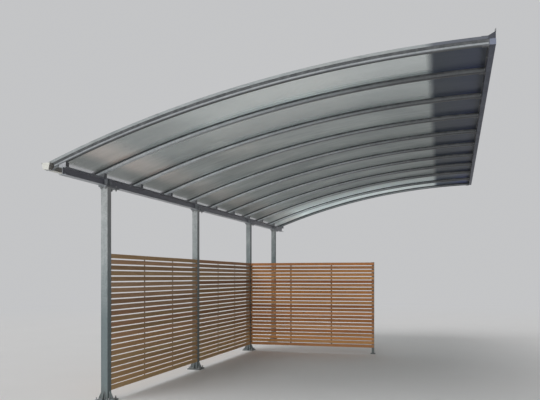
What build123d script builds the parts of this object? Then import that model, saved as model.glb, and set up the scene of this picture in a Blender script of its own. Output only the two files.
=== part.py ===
from build123d import *
import os
from math import sqrt

# A curved lean-to carport: four steel posts and an eave beam on the open side,
# bent tube ribs that rise to a beam on the house wall, and a glazed roof over them.
# X runs from the post row to the wall, Y from the front to the back, Z is up.
# The origin is under the middle of the front post's base plate, at ground level.
# All sizes are in millimetres.

# Rib grid along the carport
rib_count = 11
rib_pitch = 1030
end_bay = 885
rib_lead = 90

# Posts, as bays behind the first post
post_bays = (0, 3, 6, 8)
post_width = 100
post_wall = 5
post_corner = 8
post_top = 2810

# Post feet
base_side = 240
base_thick = 15
base_corner = 12
anchor_spacing = 180
anchor_hole = 18
foot_gusset_run = 62
foot_gusset_rise = 112
gusset_thick = 8
gusset_nose = 14

# Post heads, longer towards the back, where the gusset is
head_width = 116
head_thick = 20
head_front = 96
head_back = 250
head_bolt_front = 73
head_bolt_back = 205
head_bolt_spacing = 64
head_bolt_hole = 18
head_gusset_run = 96
head_gusset_rise = 125

# Eave beam, a wide-flange section
beam_height = 96
flange_width = 100
flange_thick = 8
web_thick = 5
root_radius = 10
stiffener_thick = 8

# Roof curve, measured on the top of the ribs
roof_radius = 13910
crown_beyond_wall = 170
seat_low_side = 21

# Ribs, bent rectangular tube
rib_width = 40
rib_depth = 50
rib_wall = 3
rib_eave_reach = 112

# Rib seats, wedges between the beam and the ribs
seat_length = 70
seat_width = 90

# Wall side
wall_distance = 4815
wall_beam_size = 60
wall_beam_wall = 4
wall_beam_corner = 6
wall_beam_above_ribs = 12
wall_anchor_hole = 12
cleat_thick = 8
cleat_width = 110
cleat_shelf = 60
cleat_bolt_spacing = 80
cleat_bolt_hole = 12

# Roof sheets and the bars that hold them
gasket_thick = 8
sheet_thick = 16
sheet_eave_reach = 185
sheet_wall_gap = 6
bar_web = 10
bar_width = 60
bar_thick = 6
bar_ridge_width = 18
bar_ridge_height = 5
edge_bar_wall = 6
edge_bar_height = 31
edge_bar_lap = 52
edge_bar_reach = 3
sheet_clearance = 1

# Gutter and its straps
gutter_from_ribs = 20
gutter_top_width = 110
gutter_bottom_width = 74
gutter_depth = 78
gutter_lip = 12
gutter_metal = 2
gutter_end_reach = 55
gutter_clearance = 4
strap_side_margin = 5
strap_thick = 4
strap_lap = 52

# Flashing along the wall
flashing_metal = 2
flashing_lap = 62
flashing_rise = 38
flashing_upstand = 30
flashing_wall_gap = 1

# Slatted screens
slat_count = 24
slat_height = 53
slat_gap = 23
slat_thick = 20
slat_bevel = 5
screen_ground_gap = 135
screen_gap = 0.3
side_screen_count = 2
upright_width = 30
upright_thick = 4
upright_count = 4

# Return screen and its post, which stands behind the ends of the slats
return_reach = 2779
return_inset = 40
return_post_size = 50
return_post_wall = 3
return_post_corner = 5
return_base_side = 100
return_base_thick = 8
return_anchor_spacing = 74
return_anchor_hole = 9
return_post_rise = 5

os.makedirs("parts", exist_ok=True)

# Places that several pieces share
rib_places = [-rib_lead - end_bay]
rib_places += [bay * rib_pitch - rib_lead for bay in range(rib_count - 2)]
rib_places += [rib_places[-1] + end_bay]
bay_middles = [(near + far) / 2 for near, far in zip(rib_places, rib_places[1:])]
post_places = [bays * rib_pitch for bays in post_bays]
front_end = rib_places[0] - rib_width / 2
back_end = rib_places[-1] + rib_width / 2
frame_length = back_end - front_end
frame_middle = (front_end + back_end) / 2
beam_bottom = post_top + head_thick
beam_top = beam_bottom + beam_height
wall_beam_face = wall_distance - wall_beam_size
rib_wall_end = wall_beam_face - cleat_thick
sheet_bottom = gasket_thick
sheet_top = gasket_thick + sheet_thick
bar_top = sheet_top + bar_thick
sheet_wall_end = rib_wall_end - sheet_wall_gap
strap_width = rib_width - 2 * strap_side_margin

# The roof curve passes over the outer edge of the rib seats
crown_x = wall_distance + crown_beyond_wall
seat_edge_run = crown_x + seat_width / 2
crown_z = beam_top + seat_low_side + roof_radius
crown_z -= sqrt((roof_radius - rib_depth) ** 2 - seat_edge_run**2)


def roof_height(x, offset=0):
    """Height of the roof curve at x, or of the curve that lies offset above it."""
    return crown_z - roof_radius + sqrt((roof_radius + offset) ** 2 - (crown_x - x) ** 2)


def roof_band(top, bottom, x_start, x_end):
    """Draw the strip of the roof curve between two offsets from the rib tops."""
    with Locations((crown_x, crown_z - roof_radius)):
        Circle(roof_radius + top)
        Circle(roof_radius + bottom, mode=Mode.SUBTRACT)
    with Locations(((x_start + x_end) / 2, crown_z)):
        Rectangle(x_end - x_start, roof_radius, mode=Mode.INTERSECT)


def curved_bar(top, bottom, x_start, x_end, y_start, y_end, mode=Mode.ADD):
    """Bar that follows the roof curve, between two places along the carport."""
    with BuildSketch(Plane.XZ.offset(-y_end)) as profile:
        roof_band(top, bottom, x_start, x_end)
    extrude(profile.sketch, amount=y_end - y_start, mode=mode)


def square_tube(size, wall, corner, plane, length):
    """Square hollow section with rounded corners, from a plane along its normal."""
    with BuildSketch(plane) as profile:
        RectangleRounded(size, size, corner)
        RectangleRounded(size - 2 * wall, size - 2 * wall, corner - wall, mode=Mode.SUBTRACT)
    extrude(profile.sketch, amount=length)


def tube_cap(size, thick, corner, plane):
    """Plate that closes a square hollow section, from a plane along its normal."""
    with BuildSketch(plane) as profile:
        RectangleRounded(size, size, corner)
    extrude(profile.sketch, amount=thick)


def gusset(plane, run, rise, nose, thick):
    """Triangular stiffener with blunt ends: it stands on the plane's x axis, at its origin."""
    with BuildSketch(plane) as profile:
        with BuildLine():
            Polyline((0, 0), (run, 0), (run, nose), (nose, rise), (0, rise), close=True)
        make_face()
    extrude(profile.sketch, amount=thick / 2, both=True)


# Posts
for number, post_y in enumerate(post_places, start=1):
    with BuildPart() as post:
        square_tube(
            post_width,
            post_wall,
            post_corner,
            Plane((0, post_y, base_thick)),
            post_top - base_thick,
        )
    post.part.label = f"post_{number}"
    export_step(post.part, f"parts/post_{number}.step")

# Post feet: a plate with a gusset against the middle of each face of the post
for number, post_y in enumerate(post_places, start=1):
    with BuildPart() as post_base:
        with BuildSketch(Plane((0, post_y, 0))):
            RectangleRounded(base_side, base_side, base_corner)
            with GridLocations(anchor_spacing, anchor_spacing, 2, 2):
                Circle(anchor_hole / 2, mode=Mode.SUBTRACT)
        extrude(amount=base_thick)
        for outward in (Vector(1, 0), Vector(0, 1), Vector(-1, 0), Vector(0, -1)):
            foot = outward * (post_width / 2) + Vector(0, post_y, base_thick)
            gusset(
                Plane(foot, x_dir=outward, z_dir=outward.cross(Vector(0, 0, 1))),
                foot_gusset_run,
                foot_gusset_rise,
                gusset_nose,
                gusset_thick,
            )
    post_base.part.label = f"post_base_{number}"
    export_step(post_base.part, f"parts/post_base_{number}.step")

# Post heads: a bolted plate under the beam, with one gusset behind the post
for number, post_y in enumerate(post_places, start=1):
    with BuildPart() as post_head:
        with BuildSketch(Plane((0, post_y, post_top))):
            with Locations((0, (head_back - head_front) / 2)):
                Rectangle(head_width, head_front + head_back)
            with Locations((0, -head_bolt_front), (0, head_bolt_back)):
                with GridLocations(head_bolt_spacing, 1, 2, 1):
                    Circle(head_bolt_hole / 2, mode=Mode.SUBTRACT)
        extrude(amount=head_thick)
        gusset(
            Plane((0, post_y + post_width / 2, post_top), x_dir=(0, 1, 0), z_dir=(-1, 0, 0)),
            head_gusset_run,
            head_gusset_rise,
            gusset_nose,
            gusset_thick,
        )
    post_head.part.label = f"post_head_{number}"
    export_step(post_head.part, f"parts/post_head_{number}.step")

# Eave beam, with web stiffeners over the faces of each post
with BuildPart() as eave_beam:
    with BuildSketch(Plane((0, back_end, beam_bottom), x_dir=(1, 0, 0), z_dir=(0, -1, 0))) as beam_section:
        with Locations((0, beam_height / 2)):
            Rectangle(web_thick, beam_height)
        with Locations((0, flange_thick / 2), (0, beam_height - flange_thick / 2)):
            Rectangle(flange_width, flange_thick)
        roots = [
            corner
            for corner in beam_section.vertices()
            if abs(abs(corner.X) - web_thick / 2) < 0.01
        ]
        fillet(roots, radius=root_radius)
    extrude(amount=frame_length)
    for post_y in post_places:
        for side in (-1, 1):
            stiffener_y = post_y + side * (post_width - stiffener_thick) / 2
            with BuildSketch(Plane.XY.offset(beam_bottom + flange_thick)):
                with Locations((0, stiffener_y)):
                    Rectangle(flange_width, stiffener_thick)
            extrude(amount=beam_height - 2 * flange_thick)
    with BuildSketch(Plane.XY.offset(beam_bottom)):
        for post_y in post_places:
            with Locations((0, post_y - head_bolt_front), (0, post_y + head_bolt_back)):
                with GridLocations(head_bolt_spacing, 1, 2, 1):
                    Circle(head_bolt_hole / 2)
    extrude(amount=flange_thick, mode=Mode.SUBTRACT)
eave_beam.part.label = "eave_beam"
export_step(eave_beam.part, "parts/eave_beam.step")

# Rib seats: wedges that stand on the beam and follow the underside of the ribs
with BuildPart() as rib_seats:
    for rib_y in rib_places:
        seat_back = max(min(rib_y + seat_length / 2, back_end), front_end + seat_length)
        with BuildSketch(Plane.XZ.offset(-seat_back)):
            with Locations((0, beam_top)):
                Rectangle(seat_width, rib_depth * 3, align=(Align.CENTER, Align.MIN))
            with Locations((crown_x, crown_z - roof_radius)):
                Circle(roof_radius - rib_depth, mode=Mode.INTERSECT)
        extrude(amount=seat_length)
rib_seats.part.label = "rib_seats"
export_step(rib_seats.part, "parts/rib_seats.step")

# Ribs, closed at the eave end
for number, rib_y in enumerate(rib_places, start=1):
    with BuildPart() as rib:
        curved_bar(
            0,
            -rib_depth,
            -rib_eave_reach,
            rib_wall_end,
            rib_y - rib_width / 2,
            rib_y + rib_width / 2,
        )
        curved_bar(
            -rib_wall,
            rib_wall - rib_depth,
            rib_wall - rib_eave_reach,
            rib_wall_end,
            rib_y - rib_width / 2 + rib_wall,
            rib_y + rib_width / 2 - rib_wall,
            mode=Mode.SUBTRACT,
        )
    rib.part.label = f"rib_{number}"
    export_step(rib.part, f"parts/rib_{number}.step")

# Wall beam, closed at its ends, with holes for the wall anchors and the cleats' bolts
wall_beam_top = roof_height(rib_wall_end) + wall_beam_above_ribs
wall_beam_middle = wall_beam_top - wall_beam_size / 2
cleat_foot = roof_height(rib_wall_end, -rib_depth) - cleat_thick
cleat_bolt_height = (wall_beam_top + cleat_foot) / 2
cleat_middles = [
    min(max(rib_y, front_end + cleat_width / 2), back_end - cleat_width / 2)
    for rib_y in rib_places
]
with BuildPart() as wall_beam:
    back_face = Plane(
        (wall_distance - wall_beam_size / 2, back_end, wall_beam_middle),
        x_dir=(1, 0, 0),
        z_dir=(0, -1, 0),
    )
    square_tube(wall_beam_size, wall_beam_wall, wall_beam_corner, back_face, frame_length)
    for cap_face in (back_face, back_face.offset(frame_length - wall_beam_wall)):
        tube_cap(wall_beam_size, wall_beam_wall, wall_beam_corner, cap_face)
    with BuildSketch(
        Plane((wall_distance, 0, wall_beam_middle), x_dir=(0, 1, 0), z_dir=(-1, 0, 0))
    ):
        with Locations(*[(bay_middle, 0) for bay_middle in bay_middles]):
            Circle(wall_anchor_hole / 2)
    extrude(amount=wall_beam_size, mode=Mode.SUBTRACT)
    with BuildSketch(
        Plane((wall_beam_face, 0, cleat_bolt_height), x_dir=(0, 1, 0), z_dir=(1, 0, 0))
    ):
        with Locations(*[(cleat_middle, 0) for cleat_middle in cleat_middles]):
            with GridLocations(cleat_bolt_spacing, 1, 2, 1):
                Circle(cleat_bolt_hole / 2)
    extrude(amount=wall_beam_wall, mode=Mode.SUBTRACT)
wall_beam.part.label = "wall_beam"
export_step(wall_beam.part, "parts/wall_beam.step")

# Rib cleats: a plate on the wall beam behind each rib's end and a shelf under the rib
with BuildPart() as rib_cleats:
    for rib_y, cleat_middle in zip(rib_places, cleat_middles):
        with BuildSketch(
            Plane((rib_wall_end, cleat_middle, cleat_foot), x_dir=(0, 1, 0), z_dir=(1, 0, 0))
        ):
            Rectangle(cleat_width, wall_beam_top - cleat_foot, align=(Align.CENTER, Align.MIN))
            with Locations((0, cleat_bolt_height - cleat_foot)):
                with GridLocations(cleat_bolt_spacing, 1, 2, 1):
                    Circle(cleat_bolt_hole / 2, mode=Mode.SUBTRACT)
        extrude(amount=cleat_thick)
        curved_bar(
            -rib_depth,
            -rib_depth - cleat_thick,
            rib_wall_end - cleat_shelf,
            rib_wall_end,
            rib_y - rib_width / 2,
            rib_y + rib_width / 2,
        )
rib_cleats.part.label = "rib_cleats"
export_step(rib_cleats.part, "parts/rib_cleats.step")

# Gaskets on the ribs, under the sheets
with BuildPart() as rib_gaskets:
    for rib_y in rib_places:
        curved_bar(
            sheet_bottom,
            0,
            -rib_eave_reach,
            rib_wall_end,
            rib_y - rib_width / 2,
            rib_y + rib_width / 2,
        )
rib_gaskets.part.label = "rib_gaskets"
export_step(rib_gaskets.part, "parts/rib_gaskets.step")

# Glazing bars: a cap over each joint between sheets, with a web down to the gasket
with BuildPart() as glazing_bars:
    for rib_y in rib_places[1:-1]:
        for top, bottom, width in (
            (sheet_top, sheet_bottom, bar_web),
            (bar_top, sheet_top, bar_width),
            (bar_top + bar_ridge_height, bar_top, bar_ridge_width),
        ):
            curved_bar(
                top,
                bottom,
                -sheet_eave_reach,
                sheet_wall_end,
                rib_y - width / 2,
                rib_y + width / 2,
            )
glazing_bars.part.label = "glazing_bars"
export_step(glazing_bars.part, "parts/glazing_bars.step")

# Edge bars: an upright face that closes the first and the last sheet, with a lap over it
with BuildPart() as edge_bars:
    for outer_y, inward in (
        (front_end - edge_bar_reach, 1),
        (back_end + edge_bar_reach, -1),
    ):
        for top, bottom, reach in (
            (sheet_bottom + edge_bar_height, sheet_bottom, edge_bar_wall),
            (bar_top, sheet_top, edge_bar_lap),
        ):
            sides = sorted((outer_y, outer_y + inward * reach))
            curved_bar(top, bottom, -sheet_eave_reach, sheet_wall_end, sides[0], sides[1])
edge_bars.part.label = "edge_bars"
export_step(edge_bars.part, "parts/edge_bars.step")

# Roof sheets
sheet_inset = bar_web / 2 + sheet_clearance
edge_inset = edge_bar_wall - edge_bar_reach + sheet_clearance
for number in range(1, rib_count):
    sheet_front = rib_places[number - 1] + sheet_inset
    sheet_back = rib_places[number] - sheet_inset
    if number == 1:
        sheet_front = front_end + edge_inset
    if number == rib_count - 1:
        sheet_back = back_end - edge_inset
    with BuildPart() as roof_sheet:
        curved_bar(
            sheet_top,
            sheet_bottom,
            -sheet_eave_reach,
            sheet_wall_end,
            sheet_front,
            sheet_back,
        )
    roof_sheet.part.label = f"roof_sheet_{number}"
    export_step(roof_sheet.part, f"parts/roof_sheet_{number}.step")

# Gutter: a folded trough with a cap at each end
gutter_inner = -rib_eave_reach - gutter_from_ribs
gutter_outer = gutter_inner - gutter_top_width
gutter_taper = (gutter_top_width - gutter_bottom_width) / 2
gutter_top = roof_height(gutter_inner, sheet_bottom) - gutter_clearance
gutter_bottom = gutter_top - gutter_depth
gutter_length = frame_length + 2 * gutter_end_reach
gutter_outline = (
    (gutter_inner, gutter_top),
    (gutter_inner - gutter_taper, gutter_bottom),
    (gutter_outer + gutter_taper, gutter_bottom),
    (gutter_outer, gutter_top),
)
with BuildPart() as gutter:
    with BuildSketch(Plane.XZ.offset(-back_end - gutter_end_reach)):
        with BuildLine():
            Polyline(*gutter_outline, close=True)
        make_face()
    extrude(amount=gutter_length)
    rim = gutter.faces().filter_by(Axis.Z).sort_by(Axis.Z)[-1]
    offset(amount=-gutter_metal, openings=rim)
    with BuildSketch(Plane.XY.offset(gutter_top)):
        with Locations((gutter_outer + (gutter_metal + gutter_lip) / 2, frame_middle)):
            Rectangle(gutter_lip, gutter_length)
    extrude(amount=-gutter_metal)
gutter.part.label = "gutter"
export_step(gutter.part, "parts/gutter.step")

# Gutter straps: each runs from the underside of a rib, under the gutter and up its outer side
strap_start = -rib_eave_reach + strap_lap
strap_outline = (
    (strap_start, roof_height(strap_start, -rib_depth)),
    (-rib_eave_reach, roof_height(-rib_eave_reach, -rib_depth)),
    (gutter_inner - gutter_taper, gutter_bottom),
    (gutter_outer + gutter_taper, gutter_bottom),
    (gutter_outer, gutter_top),
)
with BuildPart() as gutter_straps:
    for rib_y in rib_places:
        with BuildSketch(Plane.XZ.offset(-rib_y - strap_width / 2)):
            with BuildLine():
                inner_side = Polyline(*strap_outline)
                offset(inner_side, amount=strap_thick, side=Side.LEFT)
            make_face()
        extrude(amount=strap_width)
gutter_straps.part.label = "gutter_straps"
export_step(gutter_straps.part, "parts/gutter_straps.step")

# Flashing: it lies on the bars, rises to the wall and turns up against it
flashing_wall = wall_distance - flashing_wall_gap
flashing_start = sheet_wall_end - flashing_lap
flashing_level = roof_height(sheet_wall_end, sheet_bottom + edge_bar_height)
with BuildPart() as wall_flashing:
    with BuildSketch(Plane.XZ.offset(-back_end - edge_bar_reach)):
        with BuildLine():
            under_side = Polyline(
                (flashing_start, flashing_level),
                (sheet_wall_end, flashing_level),
                (flashing_wall, flashing_level + flashing_rise),
                (flashing_wall, flashing_level + flashing_rise + flashing_upstand),
            )
            offset(under_side, amount=flashing_metal, side=Side.LEFT)
        make_face()
    extrude(amount=frame_length + 2 * edge_bar_reach)
wall_flashing.part.label = "wall_flashing"
export_step(wall_flashing.part, "parts/wall_flashing.step")


def slat_rows(end, along, outward, run):
    """Level slats of a screen that faces outward, drawn from its far end."""
    with BuildSketch(Plane(end, x_dir=outward, z_dir=-along)) as slats:
        with Locations(*[(0, row * slat_pitch) for row in range(slat_count)]):
            Polygon(
                (0, 0),
                (0, slat_height - slat_bevel),
                (-slat_thick, slat_height),
                (-slat_thick, slat_bevel),
                align=None,
            )
    extrude(slats.sketch, amount=run)


def flat_uprights(end, along, outward, places):
    """Flat steel bars behind a screen's slats, at places back from its far end."""
    for place in places:
        with BuildSketch(Plane(end - along * place, x_dir=outward)) as upright:
            with Locations((-slat_thick, 0)):
                Rectangle(upright_thick, upright_width, align=(Align.MAX, Align.CENTER))
        extrude(upright.sketch, amount=screen_height)


def upright_places(run):
    """Places of the uprights along a screen, one at each end and the rest evenly between."""
    step = (run - upright_width) / (upright_count - 1)
    return [upright_width / 2 + index * step for index in range(upright_count)]


slat_pitch = slat_height + slat_gap
screen_height = slat_count * slat_pitch - slat_gap
screen_top = screen_ground_gap + screen_height
along_row = Vector(0, 1, 0)
across = Vector(1, 0, 0)

# Side screens, one in each of the first bays between posts, level with the posts' inner faces
for number in range(1, side_screen_count + 1):
    screen_start = post_places[number - 1] + post_width / 2 + screen_gap
    screen_end = post_places[number] - post_width / 2 - screen_gap
    screen_run = screen_end - screen_start
    far_end = Vector(post_width / 2, screen_end, screen_ground_gap)
    with BuildPart() as side_screen:
        slat_rows(far_end, along_row, across, screen_run)
    side_screen.part.label = f"side_screen_{number}"
    export_step(side_screen.part, f"parts/side_screen_{number}.step")
    with BuildPart() as side_uprights:
        flat_uprights(far_end, along_row, across, upright_places(screen_run))
    side_uprights.part.label = f"side_uprights_{number}"
    export_step(side_uprights.part, f"parts/side_uprights_{number}.step")

# Return screen, from the post behind the side screens towards the wall
return_start = post_width / 2 + screen_gap
return_run = return_reach - return_start
return_face_y = post_places[side_screen_count] - post_width / 2 + return_inset
far_end = Vector(return_reach, return_face_y, screen_ground_gap)
with BuildPart() as return_screen:
    slat_rows(far_end, across, -along_row, return_run)
return_screen.part.label = "return_screen"
export_step(return_screen.part, "parts/return_screen.step")
with BuildPart() as return_uprights:
    flat_uprights(far_end, across, -along_row, upright_places(return_run)[1:])
return_uprights.part.label = "return_uprights"
export_step(return_uprights.part, "parts/return_uprights.step")

# Return post: a slim tube with a foot plate and a closed top
return_post_x = return_reach - return_post_size / 2
return_post_y = return_face_y + slat_thick + return_post_size / 2
with BuildPart() as return_post:
    square_tube(
        return_post_size,
        return_post_wall,
        return_post_corner,
        Plane((return_post_x, return_post_y, return_base_thick)),
        screen_top + return_post_rise - return_base_thick,
    )
    with BuildSketch(Plane((return_post_x, return_post_y, 0))):
        Rectangle(return_base_side, return_base_side)
        with GridLocations(return_anchor_spacing, return_anchor_spacing, 2, 2):
            Circle(return_anchor_hole / 2, mode=Mode.SUBTRACT)
    extrude(amount=return_base_thick)
    tube_cap(
        return_post_size,
        return_post_wall,
        return_post_corner,
        Plane((return_post_x, return_post_y, screen_top + return_post_rise)),
    )
return_post.part.label = "return_post"
export_step(return_post.part, "parts/return_post.step")
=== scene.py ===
import random
from math import cos, pi, radians, sin, sqrt

import bmesh
import bpy
from mathutils import Matrix, Vector


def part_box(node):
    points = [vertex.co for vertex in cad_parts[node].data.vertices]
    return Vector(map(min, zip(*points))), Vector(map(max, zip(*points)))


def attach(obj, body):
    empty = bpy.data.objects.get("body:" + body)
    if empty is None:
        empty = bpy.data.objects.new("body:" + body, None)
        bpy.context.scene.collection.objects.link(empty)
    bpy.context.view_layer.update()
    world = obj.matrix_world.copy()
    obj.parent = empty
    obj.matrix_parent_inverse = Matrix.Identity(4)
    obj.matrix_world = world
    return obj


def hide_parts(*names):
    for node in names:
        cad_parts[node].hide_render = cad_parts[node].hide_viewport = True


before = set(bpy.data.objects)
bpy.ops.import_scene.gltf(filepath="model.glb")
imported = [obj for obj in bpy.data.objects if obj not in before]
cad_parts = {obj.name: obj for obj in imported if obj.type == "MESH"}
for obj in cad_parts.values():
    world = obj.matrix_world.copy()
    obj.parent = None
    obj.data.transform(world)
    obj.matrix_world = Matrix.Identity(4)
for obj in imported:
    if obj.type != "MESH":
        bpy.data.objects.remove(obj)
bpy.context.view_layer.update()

# A curved lean-to carport. Metres, in the frame of the CAD model: X from the post row
# to the wall, Y from the front to the back, Z up.
chance = random.Random(7)

TO_WALL = Vector((1, 0, 0))
TO_POSTS = Vector((-1, 0, 0))
TO_BACK = Vector((0, 1, 0))
TO_FRONT = Vector((0, -1, 0))
UP = Vector((0, 0, 1))
DOWN = Vector((0, 0, -1))

# Places read from the frame
RIBS = [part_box(f"rib_{number}") for number in range(1, 12)]
POSTS = [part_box(f"post_{number}") for number in range(1, 5)]
rib_places = [(low.y + high.y) / 2 for low, high in RIBS]
post_places = [(low.y + high.y) / 2 for low, high in POSTS]
bays = list(zip(rib_places, rib_places[1:]))
rib_spacing = rib_places[2] - rib_places[1]
post_spacing = post_places[1] - post_places[0]
post_half = (POSTS[0][1].x - POSTS[0][0].x) / 2
rib_high = RIBS[0][1]
head_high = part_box("post_head_1")[1]
beam_low, beam_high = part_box("eave_beam")
wall_low, wall_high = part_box("wall_beam")
sheet_low, sheet_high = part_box("roof_sheet_1")
edge_low, edge_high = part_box("edge_bars")
gutter_low, gutter_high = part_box("gutter")
flashing_low, flashing_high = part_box("wall_flashing")
straps_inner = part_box("gutter_straps")[1].x

# Roof curve: its radius on the rib tops, and how far its crown lies behind the wall face
ROOF_RADIUS = 13.91
CROWN_BEYOND_WALL = 0.17
crown_x = wall_high.x + CROWN_BEYOND_WALL
curve_middle_z = rib_high.z - sqrt(ROOF_RADIUS**2 - (crown_x - rib_high.x) ** 2)

# Layers of the roof, from the ribs up, and where their tops lie over the rib tops
RIB_DEPTH = 0.05
GASKET = 0.008
SHEET = 0.016
BAR = 0.006
BAR_RIDGE = 0.005
EDGE_BAR_HEIGHT = 0.031
SHEET_TOP = GASKET + SHEET
BAR_TOP = SHEET_TOP + BAR
EDGE_BAR_TOP = GASKET + EDGE_BAR_HEIGHT

# Widths of the bars and of the flutes in the sheets
BAR_HALF = 0.031
RIDGE_HALF = 0.011
EDGE_BAR_WIDTH = 0.054
EDGE_BAR_RIM = 0.008
FLUTE_PITCH = 0.016

# Screens: how their slats repeat. The photo's gaps look narrower than the solids', so each
# slat reaches a little into the gap above and below it.
SLAT_COUNT = 24
SLAT_HEIGHT = 0.053
SLAT_GAP = 0.023
SLAT_THICK = 0.020
SLAT_BEVEL = 0.005
SLAT_EASING = 0.0022
SLAT_OVERREACH = 0.0035
UPRIGHT_WIDTH = 0.030
UPRIGHT_COUNT = 4
slat_pitch = SLAT_HEIGHT + SLAT_GAP
screen_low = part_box("side_screen_1")[0].z - SLAT_GAP / 2

# Where painted shade of the house's own eave starts on the roof, and where it is full,
# as distances before the wall, and how its edge nears the posts with each metre to the back
HOUSE_EAVE_STARTS = 0.70
HOUSE_EAVE_FULL = 0.61
HOUSE_EAVE_SKEW = 0.022


def roof_point(x, y, offset=0.0):
    """Point over x and y on the curve that lies offset above the rib tops."""
    rise = sqrt((ROOF_RADIUS + offset) ** 2 - (crown_x - x) ** 2)
    return Vector((x, y, curve_middle_z + rise))


def roof_normal(x):
    """Direction square to the roof at x."""
    lean = (x - crown_x) / ROOF_RADIUS
    return Vector((lean, 0, sqrt(1 - lean**2)))


def evenly(start, end, steps):
    """Evenly spaced values from start to end."""
    return [start + (end - start) * step / steps for step in range(steps + 1)]


# Meshes and objects


def loft(bm, rings):
    """Join closed rings of points, each to the next, and cap the first and the last."""
    made = [[bm.verts.new(point) for point in ring] for ring in rings]
    count = len(made[0])
    for near, far in zip(made, made[1:]):
        for index in range(count):
            after = (index + 1) % count
            bm.faces.new((near[index], near[after], far[after], far[index]))
    bm.faces.new(list(reversed(made[0])))
    bm.faces.new(made[-1])


def turned(bm, base, axis, outline, sides, start=0.0):
    """Turn an outline of (radius, height) about an axis: a bolt, nut, washer or screw."""
    spin = axis.to_track_quat("Z", "Y").to_matrix()
    rings = []
    for radius, height in outline:
        ring = []
        for step in range(sides):
            angle = start + 2 * pi * step / sides
            local = Vector((radius * cos(angle), radius * sin(angle), height))
            ring.append(base + spin @ local)
        rings.append(ring)
    loft(bm, rings)


def prism(bm, outline, start, end):
    """Straight bar along Y: an outline of (x, z) about start, carried on to end."""
    rings = []
    for place in (start, end):
        rings.append([place + TO_WALL * x + UP * z for x, z in outline])
    loft(bm, rings)


def placed(name, data):
    """New object with this data, in the scene."""
    made = bpy.data.objects.new(name, data)
    bpy.context.scene.collection.objects.link(made)
    return made


def finished(name, bm, look, smooth=None):
    """Turn a bmesh into a piece that rides on the fixed body."""
    bmesh.ops.recalc_face_normals(bm, faces=bm.faces)
    mesh = bpy.data.meshes.new(name)
    bm.to_mesh(mesh)
    bm.free()
    piece = placed(name, mesh)
    mesh.materials.append(look)
    if smooth is not None:
        mesh.shade_smooth()
        mesh.set_sharp_from_angle(angle=radians(smooth))
    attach(piece, "root")
    return piece


# Materials


class Nodes:
    """Short calls that add nodes to a tree."""

    def __init__(self, tree):
        self.tree = tree

    def feed(self, socket, value):
        """Link a socket to another one, or set it to a value."""
        if isinstance(value, bpy.types.NodeSocket):
            self.tree.links.new(value, socket)
        else:
            socket.default_value = value

    def node(self, kind, **inputs):
        """Node with its inputs fed by name."""
        made = self.tree.nodes.new(kind)
        for name, value in inputs.items():
            self.feed(made.inputs[name.replace("_", " ")], value)
        return made

    def chosen(self, kind, operation, values):
        """Math node of a kind, set to one operation."""
        made = self.tree.nodes.new(kind)
        made.operation = operation
        for socket, value in zip(made.inputs, values):
            self.feed(socket, value)
        return made

    def math(self, operation, *values):
        return self.chosen("ShaderNodeMath", operation, values).outputs[0]

    def vector(self, operation, *values):
        return self.chosen("ShaderNodeVectorMath", operation, values).outputs

    def times(self, product, *factors):
        """Product of all the values."""
        for factor in factors:
            product = self.math("MULTIPLY", product, factor)
        return product

    def added(self, value, weight, rest):
        """The rest plus a value times its weight."""
        return self.math("MULTIPLY_ADD", value, weight, rest)

    def where(self, share, factor):
        """A factor that holds where the share is 1, and fades to 1 where the share is 0."""
        return self.added(share, self.math("SUBTRACT", factor, 1.0), 1.0)

    def ranged(self, value, low, high, to_low=0.0, to_high=1.0):
        """The value's range from low to high, mapped to another one and held there beyond it."""
        made = self.node("ShaderNodeMapRange", Value=value)
        names = ("From Min", "From Max", "To Min", "To Max")
        for name, number in zip(names, (low, high, to_low, to_high)):
            made.inputs[name].default_value = number
        return made.outputs[0]

    def band(self, value, rise, fall, level=1.0):
        """A band that comes up over one range of the value and goes down over another."""
        rising = self.ranged(value, *rise, 0.0, level)
        return self.times(rising, self.ranged(value, *fall, 1.0, 0.0))

    def ramp(self, value, *stops):
        """Colours along a value: each stop is a place and a colour."""
        made = self.node("ShaderNodeValToRGB", Fac=value)
        row = made.color_ramp.elements
        while len(row) < len(stops):
            row.new(0.5)
        for element, (place, colour) in zip(row, stops):
            element.position = place
            element.color = (*colour, 1)
        return made.outputs["Color"]

    def blended(self, share, first, second, kind="MIX"):
        """Two colours, blended by a share of the second."""
        made = self.tree.nodes.new("ShaderNodeMix")
        made.data_type = "RGBA"
        made.blend_type = kind
        self.feed(made.inputs[0], share)
        for socket, value in ((made.inputs[6], first), (made.inputs[7], second)):
            self.feed(socket, (*value, 1) if isinstance(value, tuple) else value)
        return made.outputs[2]

    def dimmed(self, colour, factor):
        """A colour times a factor."""
        return self.blended(1.0, colour, factor, "MULTIPLY")

    def mixed(self, share, first, second):
        """Two shaders, mixed by a share of the second."""
        made = self.tree.nodes.new("ShaderNodeMixShader")
        for socket, value in zip(made.inputs, (share, first, second)):
            self.feed(socket, value)
        return made.outputs[0]


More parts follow.
